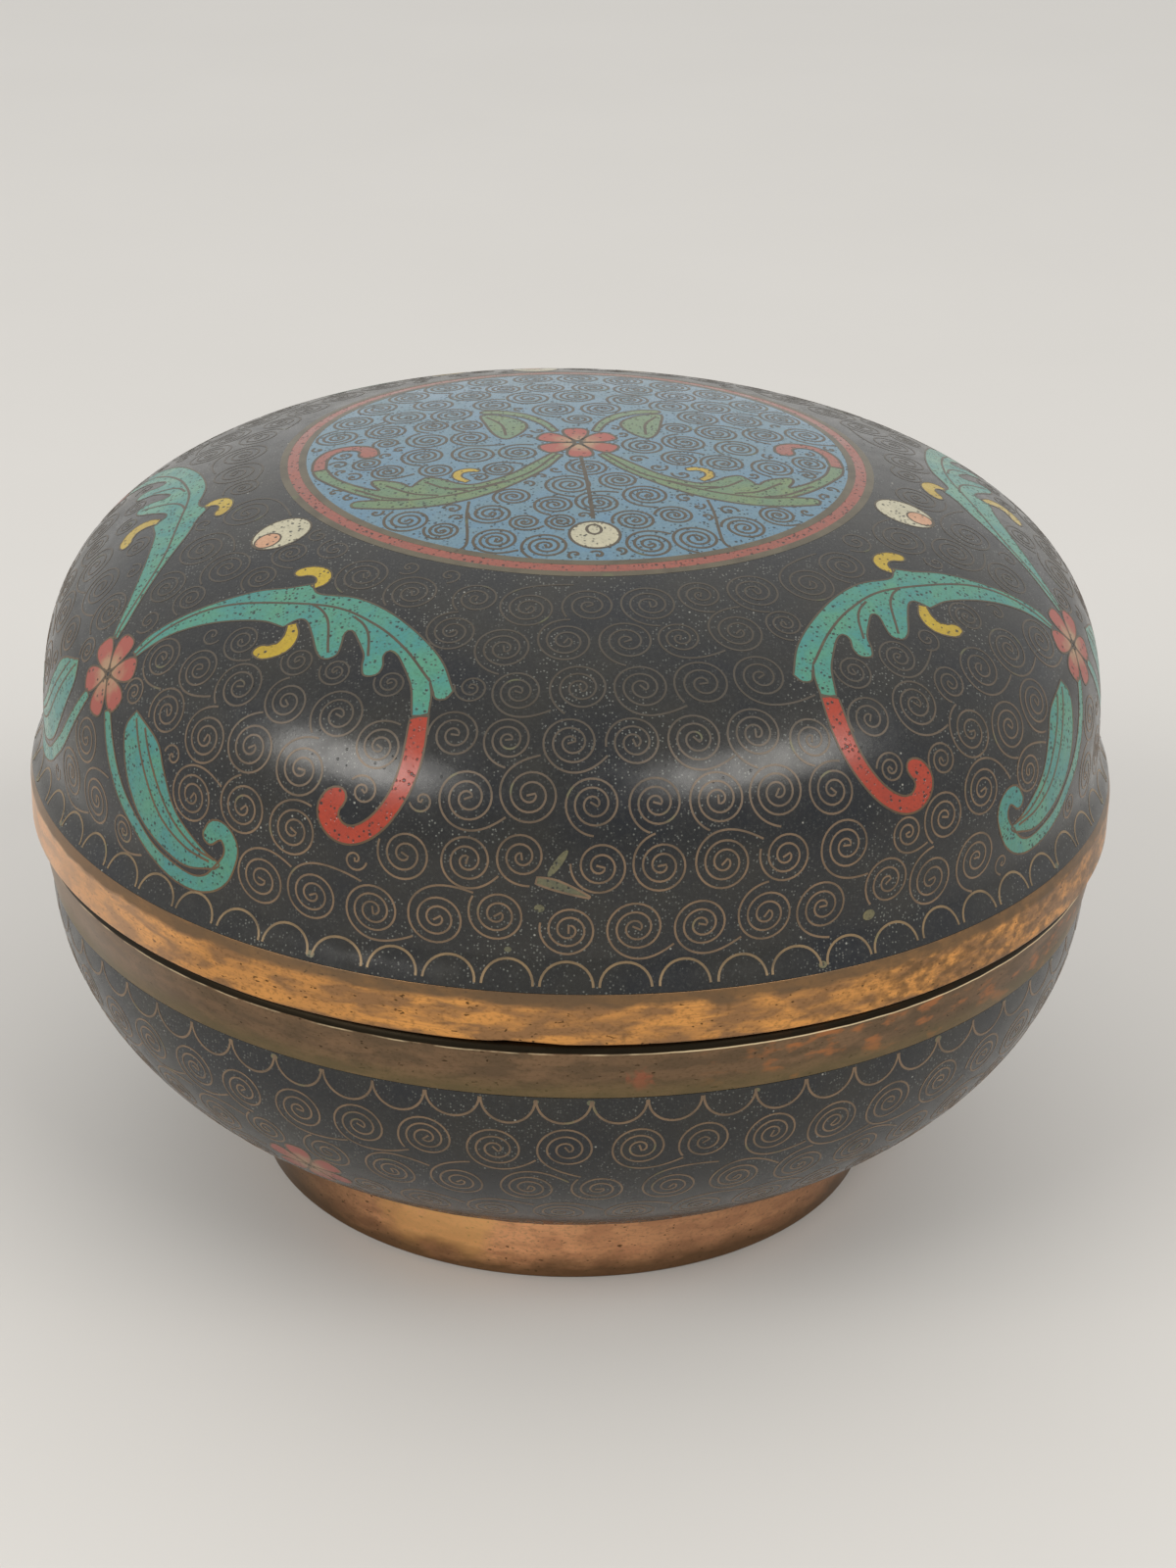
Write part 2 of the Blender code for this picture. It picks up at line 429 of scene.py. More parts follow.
def all_finishes():
    """The finishes of the lining, the inlays and the wires, by name."""
    enamels = {  # two shades, and the share of it that is pitted where that isn't half
        "lining_enamel": ((0.10, 0.34, 0.36), (0.12, 0.40, 0.40), 0.25),
        "turquoise_enamel": ((0.065, 0.225, 0.150), (0.042, 0.195, 0.185)),
        "red_enamel": ((0.33, 0.037, 0.015), (0.27, 0.032, 0.015)),
        "yellow_enamel": ((0.40, 0.285, 0.016), (0.35, 0.24, 0.018), 0.3),
        "white_enamel": ((0.45, 0.42, 0.30), (0.39, 0.37, 0.265)),
        "peach_enamel": ((0.48, 0.27, 0.16), (0.44, 0.23, 0.13), 0.2),
        "blue_enamel": ((0.088, 0.185, 0.270), (0.110, 0.195, 0.245), 0.35),
        "green_enamel": ((0.085, 0.165, 0.095), (0.130, 0.190, 0.085), 0.45),
        "coral_enamel": ((0.225, 0.066, 0.048), (0.26, 0.072, 0.050), 0.4),
        "crust": ((0.075, 0.080, 0.050), (0.15, 0.13, 0.060), 0.7),
    }
    wires = {  # low down, and high on the lid
        "ground_wire": ((0.19, 0.125, 0.075), (0.070, 0.060, 0.048)),
        "edge_wire": ((0.22, 0.150, 0.078), (0.22, 0.150, 0.078)),
        "motif_wire": ((0.12, 0.070, 0.033), (0.080, 0.064, 0.044)),
        "ring_wire": ((0.115, 0.098, 0.066), (0.115, 0.098, 0.066)),
    }
    made = {name: coloured_enamel(name, *values) for name, values in enamels.items()}
    made |= {name: wire_metal(name, *values) for name, values in wires.items()}
    made["petal_enamel"] = petal_enamel()
    return made


# Turned pieces

def new_piece(name, points, faces, materials, replaces=None):
    mesh = bpy.data.meshes.new(name)
    mesh.from_pydata(points, [], faces)
    for material in materials:
        mesh.materials.append(material)
    mesh.validate()
    piece = bpy.data.objects.new(name, mesh)
    bpy.context.scene.collection.objects.link(piece)
    mesh.shade_smooth()
    mesh.set_sharp_from_angle(angle=sharp_angle)
    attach(piece, "root")
    if replaces:
        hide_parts(replaces)
    return piece


def rounded(corners):
    """A closed section from (radius, height, rounding) corners."""
    made = []
    for index, (r, z, rounding) in enumerate(corners):
        corner = Vector((r, z))
        if not rounding:
            made.append(corner)
            continue
        before = (Vector(corners[index - 1][:2]) - corner).normalized()
        after = (Vector(corners[(index + 1) % len(corners)][:2]) - corner).normalized()
        half_angle = before.angle(after) / 2
        middle = corner + (before + after).normalized() * rounding / sin(half_angle)
        first = corner + before * rounding / np.tan(half_angle) - middle
        last = corner + after * rounding / np.tan(half_angle) - middle
        for step in range(corner_steps + 1):
            made.append(middle + first.lerp(last, step / corner_steps).normalized() * rounding)
    return [tuple(point) for point in made]


def turned(section, closed, bend=None):
    """Points and faces of a section turned round +Z. Its outer side runs from top to bottom."""
    section = np.array(section)
    count = len(section)
    azimuths = np.linspace(0, tau, turns_steps, endpoint=False)
    radius = np.tile(section[:, 0], (turns_steps, 1))
    height = np.tile(section[:, 1], (turns_steps, 1))
    if bend:
        radius, height = bend(azimuths[:, None], radius, height)
    x = radius * np.sin(azimuths)[:, None]
    y = -radius * np.cos(azimuths)[:, None]
    points = np.stack([x, y, height], axis=2).reshape(-1, 3)
    faces = []
    zones = []
    steps = count if closed else count - 1
    for turn in range(turns_steps):
        here = turn * count
        there = (turn + 1) % turns_steps * count
        for step in range(steps):
            after = (step + 1) % count
            face = [here + step, here + after, there + after, there + step]
            if section[step, 0] == 0:
                face = [step, here + after, there + after]
            elif section[after, 0] == 0:
                face = [here + step, after, there + step]
            faces.append(face)
            zones.append(step)
    return points, faces, zones


def enamelled(name, section, lining, finishes, replaces):
    """A copper wall with enamel on both sides. Lining holds the steps of its inner side."""
    points, faces, zones = turned(section, False)
    piece = new_piece(name, points, faces, finishes, replaces)
    piece.data.polygons.foreach_set("material_index", np.isin(zones, lining).astype(int))


def wall_lines(side):
    """The outer and the inner line of a wall along its side, from the top."""
    lengths = np.linspace(0, side.along[-1], wall_steps + 1)
    return side.section_at(lengths, -enamel_depth), side.section_at(lengths, -wall)


def lid_enamel(finishes):
    """The dome, closed at the top and reaching down over the gap to its band."""
    outer, inner = wall_lines(dome)
    outer[0, 0] = inner[0, 0] = 0
    outer[-1, 1] = inner[-1, 1] = dome.section[-1, 1] - seam_cover
    section = np.concatenate([outer, inner[::-1]])
    lining = np.arange(len(outer), len(section))
    enamelled("lid_enamel", section, lining, finishes, "lid_shell")


def bowl_enamel(finishes):
    """The bowl, open at the top, with a flat floor."""
    outer, inner = wall_lines(bowl)
    outer[0, 1] = inner[0, 1] = bowl.section[0, 1]
    floor = bowl_low.z + wall
    inner = inner[inner[:, 1] > floor]
    section = np.concatenate([[(0, floor)], inner[::-1], outer, [(0, bowl_low.z)]])
    enamelled("bowl_enamel", section, np.arange(len(inner)), finishes, "base_bowl")


def copper_ring(name, corners, material, replaces, bend=None):
    """A ring turned from (radius, height, rounding) corners, in the place of its solid."""
    points, faces, _ = turned(rounded(corners), True, bend)
    new_piece(name, points, faces, [material], replaces)


def lid_band(material):
    inside = lid_band_high.x - lid_band_width
    corners = [
        (lid_high.x, lid_band_high.z, 0.08 * mm),
        (lid_band_high.x, lid_band_high.z - lid_band_chamfer_height, 0.2 * mm),
        (lid_band_high.x, lid_band_low.z, fine_edge),
        (inside, lid_band_low.z, fine_edge),
        (inside, lid_band_high.z, 0),
    ]
    copper_ring("lid_copper_band", corners, material, "lid_band", lid_band_wear)


def waves(azimuths, counts, seeds):
    """A smooth wandering value round the box, between about 0 and 1."""
    total = 0
    for count, seed in zip(counts, seeds):
        total = total + np.sin(count * azimuths + seed)
    return 0.5 + 0.5 * total / len(counts)


def lid_band_wear(azimuths, radius, height):
    """The lower edge wanders a little, and is nicked and rubbed away near the front."""
    low = height < lid_band_low.z + 2 * fine_edge
    wander = 0.12 * mm * waves(azimuths, (3, 7, 12), (0.4, 2.1, 5.0))
    gap = 0.22 * mm * np.exp(-((azimuths - radians(356)) / radians(3.0)) ** 2)
    nick = 0.15 * mm * np.exp(-((azimuths - radians(354)) / radians(0.5)) ** 2)
    height = np.where(low, height + wander + gap + nick, height)
    radius = radius - 0.04 * mm * waves(azimuths, (5, 9, 17), (1.0, 3.0, 0.2))
    return radius, height


def base_band(material):
    collar_outside = lid_band_high.x - lid_band_width - collar_clearance
    collar_inside = collar_outside - collar_wall
    seat = base_band_high.z - collar_height
    corners = [
        (base_band_high.x, seat, worn_edge),
        (base_band_high.x - base_band_taper, base_band_low.z - seam_cover, 0.1 * mm),
        (collar_inside, base_band_low.z - seam_cover, 0),
        (collar_inside, base_band_high.z, fine_edge),
        (collar_outside, base_band_high.z, fine_edge),
        (collar_outside, seat, 0),
    ]
    copper_ring("base_copper_band", corners, material, "base_band", base_band_wear)


def base_band_wear(azimuths, radius, height):
    radius = radius - 0.05 * mm * waves(azimuths, (4, 7, 15), (0.0, 1.3, 2.2))
    return radius, height


def foot_ring(material):
    inside = foot_high.x - foot_width
    corners = [
        (foot_high.x, foot_high.z, 0),
        (foot_high.x, foot_low.z, fine_edge),
        (inside, foot_low.z, fine_edge),
        (inside, foot_high.z, 0),
    ]
    copper_ring("copper_foot_ring", corners, material, "foot_ring")


# Drawn lines, in millimetres

spiral_root = 0.16  # where a spiral starts, as a share of its radius
spiral_hook = 0.9  # how far back across the middle it starts, as a share of its root
arm_turns = (0.08, 2.68)  # where round its spiral an arm starts and ends, in radians
arm_opening = (0.07, 0.13)  # how much wider an arm gets with its turn
arm_leaving = 0.0022  # how strongly it leaves its spiral at its end


def spaced(points):
    """The same line with points at equal distances."""
    lengths = np.hypot(*np.diff(points[:, :2], axis=0).T)
    total = np.concatenate([[0], np.cumsum(lengths)])
    steps = max(int(round(total[-1] / outline_step)), 2)
    wanted = np.linspace(0, total[-1], steps + 1)
    return np.column_stack([np.interp(wanted, total, column) for column in points.T])


def smooth(points):
    """A curve through the points. More columns than x and y are carried along."""
    points = np.array(points, float)
    first = 2 * points[0] - points[1]
    last = 2 * points[-1] - points[-2]
    padded = np.concatenate([[first], points, [last]])
    made = []
    for index in range(len(points) - 1):
        a, b, c, d = padded[index : index + 4]
        share = np.linspace(0, 1, smooth_steps, endpoint=False)[:, None]
        leaving = (c - a) / 2
        arriving = (d - b) / 2
        cubic = 2 * b - 2 * c + leaving + arriving
        square = -3 * b + 3 * c - 2 * leaving - arriving
        made.append(cubic * share**3 + square * share**2 + leaving * share + b)
    made.append(points[-1:])
    return spaced(np.concatenate(made))


def closed_curve(points):
    """A smooth closed outline through the points."""
    around = smooth(points[-2:] + points + points[:2])
    missed = np.hypot(*(around - points[0]).T)
    start = np.argmin(missed)
    far = start + len(around) // 3
    return around[start:far + np.argmin(missed[far:])]


def joined(*lines):
    """Lines end to end as one outline."""
    made = [lines[0]]
    for line in lines[1:]:
        made.append(line[1:] if np.allclose(line[0], made[-1][-1]) else line)
    outline = np.concatenate(made)
    return outline[:-1] if np.allclose(outline[0], outline[-1]) else outline


def band_outline(stops):
    """The outline of a band that narrows and widens. A stop is x, y and half the width."""
    line = smooth(stops)
    ahead = np.gradient(line[:, :2], axis=0)
    ahead /= np.hypot(*ahead.T)[:, None]
    left = np.column_stack([-ahead[:, 1], ahead[:, 0]]) * line[:, 2:3]
    turn = np.linspace(0, pi, end_steps + 1)[1:-1, None]
    end = line[-1, :2] + left[-1] * np.cos(turn) + ahead[-1] * line[-1, 2] * np.sin(turn)
    return np.concatenate([line[:, :2] + left, end, (line[:, :2] - left)[::-1]])


def turned_left(points, turn):
    """The same points turned left round the middle."""
    return points @ np.array([[cos(turn), sin(turn)], [-sin(turn), cos(turn)]])


def oval(x, y, half_width, half_height, turn=0.0):
    angles = np.linspace(0, tau, oval_steps, endpoint=False)
    flat = np.column_stack([half_width * np.cos(angles), half_height * np.sin(angles)])
    return turned_left(flat, turn) + (x, y)


def petal(turn, length, half_width, root):
    """A rounded petal with a pointed root, along its own direction."""
    share = np.linspace(0, 1, petal_steps + 1)
    along = root + (length - root) * (1 - np.cos(pi * share)) / 2
    across = half_width * np.sin(pi * share**1.6) ** 0.75
    side = np.column_stack([along, across])
    return turned_left(np.concatenate([side, side[::-1][1:-1] * (1, -1)]), turn)


def spiral(radius, turns, handed, outer_angle):
    """A spiral outwards from a small hook. Handed 1 turns left as it goes out, -1 turns right."""
    root = spiral_root * radius
    total = turns * tau
    angle = 0
    made = []
    while angle < total:
        r = root + (radius - root) * angle / total
        made.append((r, outer_angle - handed * (total - angle)))
        angle += sqrt(8 * sag / r)
    made.append((radius, outer_angle))
    line = round_middle(*np.array(made).T)
    return np.concatenate([[-spiral_hook * line[0]], line])


def round_middle(radii, angles):
    return np.column_stack([radii * np.cos(angles), radii * np.sin(angles)])


def arm(radius, handed, outer_angle):
    """How a spiral's outer end runs on: half round it, then off sideways."""
    turn = np.linspace(*arm_turns, arm_steps + 1)
    radii = radius * (1 + random.uniform(*arm_opening) * turn + arm_leaving * turn**6)
    return round_middle(radii, outer_angle + handed * turn)


# Where drawn lines lie

def on_side(side, azimuth, along, mirror=1, tall=1.0, lean=0.0):
    """A drawing's middle at this place on a side. Tall stretches it upwards, lean lifts its far end."""
    reach = side.radius(along * mm)

    def chart(points):
        down = (along - tall * points[:, 1] - lean * points[:, 0]) * mm
        width = np.maximum(side.radius(down), 0.5 * reach)
        return azimuth + mirror * points[:, 0] * mm / width, down
    return chart


def on_top(azimuth, mirror=1):
    """A drawing's middle at the middle of the lid, its y running out along this azimuth."""

    def chart(points):
        x, y = points.T * mm
        return azimuth + mirror * np.arctan2(x, y), np.hypot(x, y)
    return chart


def small_on_top(azimuth, along):
    """A small drawing's middle at a place on the flat of the lid, its y away from the camera."""
    middle = Vector((sin(azimuth), -cos(azimuth))) * along * mm

    def chart(points):
        x = middle.x + points[:, 0] * mm
        y = middle.y + points[:, 1] * mm
        return np.arctan2(x, -y), np.hypot(x, y)
    return chart


# Wires and inlays

class Wires:
    """The wires of one piece, gathered stroke by stroke."""

    def __init__(self, side):
        self.side = side
        self.points = []
        self.faces = []
        self.count = 0

    def add(self, chart, line, width=wire_width, closed=False):
        azimuth, along = chart(line)
        top = self.side.place(azimuth, along, -wire_top_depth)
        under = self.side.place(azimuth, along, -wire_depth)
        up = top - under
        if closed:
            ahead = np.roll(top, -1, axis=0) - np.roll(top, 1, axis=0)
        else:
            ahead = np.gradient(top, axis=0)
        across = np.cross(ahead, up)
        across *= width * mm / 2 / np.linalg.norm(across, axis=1)[:, None]
        ring = np.stack([top - across, top + across, under + across, under - across], axis=1)
        count = len(line)
        here = self.count + 4 * np.arange(count if closed else count - 1)
        there = self.count + 4 * ((np.arange(len(here)) + 1) % count)
        corner = np.arange(4)
        after = (corner + 1) % 4
        quads = np.stack([
            here[:, None] + corner, here[:, None] + after,
            there[:, None] + after, there[:, None] + corner,
        ], axis=2)
        self.faces.append(quads.reshape(-1, 4))
        if not closed:
            last = self.count + 4 * (count - 1)
            self.faces.append(np.array([self.count + corner[::-1], last + corner]))
        self.points.append(ring.reshape(-1, 3))
        self.count += 4 * count

    def piece(self, name, material):
        points = np.concatenate(self.points).tolist()
        faces = np.concatenate(self.faces).tolist()
        new_piece(name, points, faces, [material])


def inside_outline(points, outline):
    """Which of the points lie inside a closed outline."""
    x, y = points.T
    crossings = np.zeros(len(points), int)
    for (x0, y0), (x1, y1) in zip(outline, np.roll(outline, -1, axis=0)):
        spans = (y0 > y) != (y1 > y)
        if y1 != y0:
            crossings += spans & (x < x0 + (y - y0) * (x1 - x0) / (y1 - y0))
    return crossings % 2 == 1


def filled(outline):
    """Points and triangles that fill an outline, close enough together to follow a curved side."""
    low = outline.min(axis=0)
    high = outline.max(axis=0)
    columns = np.arange(low[0] + fill_step / 2, high[0], fill_step)
    rows = np.arange(low[1] + fill_step / 2, high[1], fill_step)
    grid = np.stack(np.meshgrid(columns, rows), axis=2).reshape(-1, 2)
    if len(grid):
        grid = grid[inside_outline(grid, outline)]
    if len(grid):
        nearest = np.linalg.norm(grid[:, None] - outline[None], axis=2).min(axis=1)
        grid = grid[nearest > 0.4 * fill_step]
    corners = [Vector(point) for point in np.concatenate([outline, grid])]
    border = list(range(len(outline)))
    points, _, faces, *_ = delaunay_2d_cdt(corners, [], [border], 1, 0.0001)
    return np.array([tuple(point) for point in points]), np.array(faces)


class Inlays:
    """The inlays of one colour, gathered shape by shape."""

    def __init__(self, side, depth):
        self.side = side
        self.depth = depth
        self.points = []
        self.faces = []
        self.tips = []
        self.count = 0

    def add(self, chart, outline, tip=None):
        points, faces = filled(outline)
        azimuth, along = chart(points)
        top = self.side.place(azimuth, along, -self.depth)
        bottom = self.side.place(azimuth, along, -self.depth - inlay_thickness)
        a, b, c = (top[faces[:, corner]] for corner in range(3))
        facing = (np.cross(b - a, c - a) * (top - bottom)[faces[:, 0]]).sum()
        if facing < 0:
            faces = faces[:, ::-1]
        count = len(points)
        edges = np.concatenate([faces[:, [0, 1]], faces[:, [1, 2]], faces[:, [2, 0]]])
        known = {tuple(edge) for edge in edges.tolist()}
        rim = [(a, b) for a, b in edges.tolist() if (b, a) not in known]
        made = faces.tolist()
        made += (faces[:, ::-1] + count).tolist()
        made += [[b, a, a + count, b + count] for a, b in rim]
        self.faces += [[corner + self.count for corner in face] for face in made]
        self.points += [top, bottom]
        share = np.zeros(count) if tip is None else tip(points)
        self.tips += [share, share]
        self.count += 2 * count

    def piece(self, name, material, slot):
        piece = new_piece(name, np.concatenate(self.points), self.faces, [material])
        tips = piece.data.attributes.new("tip", "FLOAT", "POINT")
        tips.data.foreach_set("value", np.concatenate(self.tips))

    def obstacles(self):
        return np.concatenate(self.points[::2])


def cell(inlays, wires, chart, outline, width=wire_width, tip=None):
    """An inlay with a wire round it."""
    inlays.add(chart, outline, tip)
    wires.add(chart, outline, width, closed=True)


# The lid's flower motif, drawn as its right half from the flower's middle

scroll_rise = smooth([(2.0, 3.4), (2.6, 6.0), (4.9, 10.4), (8.4, 15.5), (11.0, 17.7), (12.5, 19.4)])
scroll_back = smooth([
    (12.5, 19.4), (13.4, 18.7), (14.8, 18.4), (18.3, 19.3), (23.0, 18.5), (28.7, 16.2), (33.9, 13.3),
    (38.1, 10.0),
])
scroll_tip = smooth([(38.1, 10.0), (38.2, 9.0), (37.3, 8.9), (36.3, 9.7), (35.0, 10.8)])
scroll_end = smooth([(35.0, 10.8), (36.7, 9.1), (38.3, 6.9)])
scroll_belly = smooth([(2.9, 3.2), (5.2, 7.1), (8.8, 10.5), (12.9, 12.7), (15.9, 13.0)])
scroll_lobes = smooth([
    (15.9, 13.0), (16.3, 14.5), (17.4, 14.5), (19.6, 13.1), (22.1, 11.3), (23.5, 10.9), (24.0, 11.7),
    (23.3, 12.9), (22.1, 14.5), (22.4, 15.0), (24.0, 14.1), (26.3, 12.5), (27.5, 11.1), (28.7, 10.1),
    (29.7, 10.5), (29.3, 11.6), (28.2, 12.8), (28.1, 13.6), (29.5, 13.1), (32.5, 11.0), (34.4, 9.4),
    (36.8, 6.7),
])
scroll_rib = smooth([
    (2.5, 3.3), (4.3, 8.1), (7.1, 12.2), (11.4, 15.1), (17.6, 17.3), (23.4, 16.5), (29.1, 14.2),
    (35.0, 10.8),
])
scroll_outline = joined(
    scroll_rise, scroll_back, scroll_tip, scroll_end, scroll_lobes[::-1], scroll_belly[::-1],
)
first_rib = smooth([(15.4, 16.8), (17.2, 16.4), (19.4, 15.1), (23.0, 11.7)])
second_rib = smooth([(20.7, 16.8), (22.6, 16.1), (24.5, 14.8), (26.9, 12.4)])
red_tendril = band_outline([
    (37.5, 6.8, 0.76), (39.1, 4.3, 0.86), (40.1, 2.3, 0.93), (40.7, 0.2, 0.97), (40.7, -1.8, 0.98),
    (40.1, -3.7, 0.98), (39.0, -5.1, 0.98), (37.6, -5.85, 0.95), (36.1, -5.7, 0.95), (34.9, -4.7, 1.02),
    (34.5, -3.5, 1.2), (34.7, -2.7, 1.25),
])
upper_curl = band_outline([
    (12.9, 18.9, 0.40), (13.0, 19.8, 0.58), (12.3, 20.7, 0.72), (11.2, 21.1, 0.85), (10.2, 20.8, 0.90),
    (9.8, 20.3, 0.85),
])
lower_curl = band_outline([
    (16.3, 13.7, 0.40), (17.7, 12.3, 0.72), (18.2, 10.7, 0.98), (17.3, 9.7, 1.00), (16.6, 9.6, 0.80),
])
leaf_edges = joined(
    smooth([
        (7.4, -1.3), (6.6, -3.0), (6.9, -4.8), (9.1, -9.1), (12.2, -12.3), (17.7, -14.3), (22.3, -13.4),
    ]),
    smooth([
        (22.3, -13.4), (23.0, -12.6), (20.9, -11.8), (16.8, -9.1), (14.1, -5.5), (12.0, -3.0),
        (7.4, -1.3),
    ]),
)
leaf_rib = smooth([(7.8, -2.0), (10.0, -5.0), (14.1, -10.0), (18.0, -12.2), (21.6, -12.8)])
leaf_side_rib = smooth([(9.6, -2.4), (12.2, -5.6), (15.8, -9.6), (19.4, -11.8), (22.3, -12.4)])
hooked_stem = band_outline([
    (2.5, -3.1, 0.55), (4.3, -5.9, 0.70), (6.1, -8.5, 0.75), (8.0, -10.7, 0.80), (10.4, -12.6, 0.78),
    (13.1, -14.4, 0.78), (16.0, -15.4, 0.85), (19.2, -15.8, 0.80), (21.5, -15.2, 0.90),
    (23.2, -13.7, 1.05), (24.3, -11.8, 0.85), (24.4, -10.3, 0.90), (23.5, -9.2, 0.90),
    (22.3, -9.2, 1.10), (21.6, -10.0, 0.90),
])
petal_count = 6
petal_length = 4.1
petal_half_width = 1.24
petal_root = 0.45
eye_radius = 0.3
lid_flower_size = 1.11
top_flower_size = 1.13

# The medallion's motif, drawn as its right half from the middle of the lid

top_scroll_front = smooth([
    (1.9, 3.9), (4.4, 8.4), (9.4, 13.4), (14.5, 15.8), (19.4, 16.0), (23.7, 14.7), (24.6, 13.9),
    (24.1, 13.0), (21.5, 13.4),
])
top_scroll_end = smooth([(21.5, 13.4), (23.7, 11.5), (25.9, 8.9), (28.0, 5.6), (28.6, 3.4)])
top_scroll_back = smooth([
    (2.9, 3.1), (5.6, 6.6), (8.0, 9.3), (11.3, 11.3), (13.2, 11.0), (15.1, 9.4), (16.6, 8.8),
    (17.6, 9.9), (18.3, 10.9), (19.2, 9.7), (20.5, 8.8), (22.1, 8.2), (22.3, 9.2), (21.6, 10.9),
    (23.2, 9.8), (24.8, 8.1), (26.3, 5.8), (27.1, 3.1),
])
top_scroll_outline = joined(top_scroll_front, top_scroll_end, top_scroll_back[::-1])
top_scroll_rib = smooth([(2.5, 3.6), (6.2, 9.3), (12.7, 13.3), (18.2, 14.1), (21.5, 13.4)])
top_side_ribs = [
    smooth([(12.4, 12.9), (14.8, 11.9), (16.8, 9.9)]),
    smooth([(15.5, 13.6), (18.2, 12.6), (20.9, 9.9)]),
    smooth([(18.6, 13.9), (21.2, 12.8), (24.2, 9.9)]),
    smooth([(8.6, 11.0), (11.2, 12.2), (14.0, 12.2)]),
]
top_red_tendril = band_outline([
    (27.9, 3.2, 0.75), (27.7, 0.5, 0.75), (26.8, -1.4, 0.72), (25.4, -2.2, 0.65), (23.8, -2.0, 0.72),
    (22.6, -0.9, 0.95), (22.5, 0.4, 1.10),
])
top_curl = band_outline([
    (12.3, 10.6, 0.35), (13.3, 9.4, 0.48), (13.2, 8.1, 0.52), (12.2, 7.5, 0.50), (11.3, 7.7, 0.42),
])
top_thread = smooth([(12.4, 15.6), (12.8, 18.9), (12.9, 22.7), (13.2, 25.2), (14.4, 26.4)])
top_leaf = closed_curve([
    (9.9, -9.9), (9.6, -6.5), (8.9, -3.2), (7.9, -1.5), (6.8, -2.0), (5.4, -4.4), (5.3, -6.8),
    (7.3, -9.2),
])
top_leaf_rib = smooth([(9.4, -9.2), (7.9, -6.2), (7.6, -2.6)])
top_leaf_stem = band_outline([
    (2.2, -3.6, 0.40), (3.3, -6.6, 0.50), (5.2, -9.2, 0.60), (7.6, -10.7, 0.65), (9.4, -11.0, 0.55),
])
bud_stem = smooth([(0.0, 4.2), (0.15, 12.7), (0.1, 20.6)])

# Where the patterns lie, from the photograph. Azimuths in degrees, lengths in millimetres.
motifs = (  # azimuth, along, tall and lean
    (-58.9, 59.7, 1.0, 0.0), (72.8, 59.3, 0.98, 0.02), (186.7, 59.5, 0.99, 0.01),
)
bud_along = 36.3
bud_turn = 1.6
bud_outline = oval(0, 0, 2.7, 3.3)
bud_heart = oval(0.1, -1.7, 1.3, 1.45)
medallion_azimuth = 4.6
medallion_bud_along = 24.1
medallion_bud = oval(0, medallion_bud_along, 2.6, 2.8)
medallion_bud_heart = oval(0, medallion_bud_along - 1.1, 0.75, 1.0)
medallion_radius = 29.7
ring_outer_radius = 31.75
ring_edge_radius = 32.3
base_flower_azimuths = (-30.8, 89.2, 209.2)
base_flower_along = 18.7
base_flower_size = 1.15

scallop_count = 65
scallop_height = 2.5
scallop_edge = 0.45  # from the band's edge to the scallops' feet
scallop_gap = 0.7  # between two scallops' feet
swag_count = 66
swag_height = 2.75
swag_edge = 0.3
swag_gap = 0.15

# Rows of spirals: the first one's azimuth, along, their pitch, and the share that curl over
lid_rows = (
    (0.1, 72.7, 6.45, 0.5), (-3.6, 66.6, 6.2, 0.5), (2.4, 60.9, 6.1, 0.3), (-0.6, 55.1, 6.0, 0.3),
    (0.8, 49.3, 5.9, 0.3), (-1.5, 43.5, 5.9, 0.3), (1.5, 37.8, 5.9, 0.3),
)
top_rows = (
    (5.0, 26.6, 5.3, 0.5), (0.0, 22.1, 5.2, 0.5), (7.0, 17.3, 5.2, 0.5), (0.0, 12.5, 5.2, 0.5),
    (10.0, 7.7, 5.2, 0.5),
)
bowl_rows = (
    (0.5, 6.4, 7.0, 0.0), (4.0, 13.4, 7.1, 1.0), (0.0, 20.2, 7.0, 0.5), (3.0, 27.0, 6.8, 0.5),
    (0.0, 33.0, 6.6, 0.5),
)

# Spirals: radius, turns and the least radius. Fillers: their radii, and the pitch of their turns.
lid_spirals = (2.8, 2.65, 1.6)
lid_fillers = ((2.4, 2.0, 1.6, 1.25), 1.0)
top_spirals = (2.4, 2.8, 1.5)
top_fillers = ((1.9, 1.5, 1.1, 0.8), 0.85)
bowl_spirals = (2.85, 2.7, 1.6)
bowl_fillers = ((2.4, 2.0, 1.6, 1.25), 1.05)

# How far spirals may be off their places, and how clear they and their arms keep, in millimetres
spiral_wander = 0.12
spiral_reach = 1.5
spiral_room = 0.1
spiral_apart = 0.24
top_spiral_apart = 0.05
arm_to_inlay = 0.45
arm_to_spiral = 0.10
arm_to_arm = 0.22
room_round_arm = 0.35

# Each piece of inlays on the lid: its finish, slot and depth
lid_inlays = {
    "lid_turquoise": ("turquoise_enamel", "turquoise_enamel", first_inlay_depth),
    "lid_red": ("red_enamel", "red_enamel", first_inlay_depth),
    "lid_yellow": ("yellow_enamel", "yellow_enamel", first_inlay_depth),
    "lid_buds": ("white_enamel", "white_enamel", first_inlay_depth),
    "lid_petals": ("petal_enamel", "red_enamel", first_inlay_depth),
    "bud_hearts": ("peach_enamel", "white_enamel", second_inlay_depth),
    "medallion_leaves": ("green_enamel", "turquoise_enamel", second_inlay_depth),
    "medallion_tendrils": ("coral_enamel", "red_enamel", second_inlay_depth),
    "medallion_curls": ("yellow_enamel", "yellow_enamel", second_inlay_depth),
    "medallion_bud": ("white_enamel", "white_enamel", second_inlay_depth),
    "medallion_petals": ("petal_enamel", "red_enamel", second_inlay_depth),
}


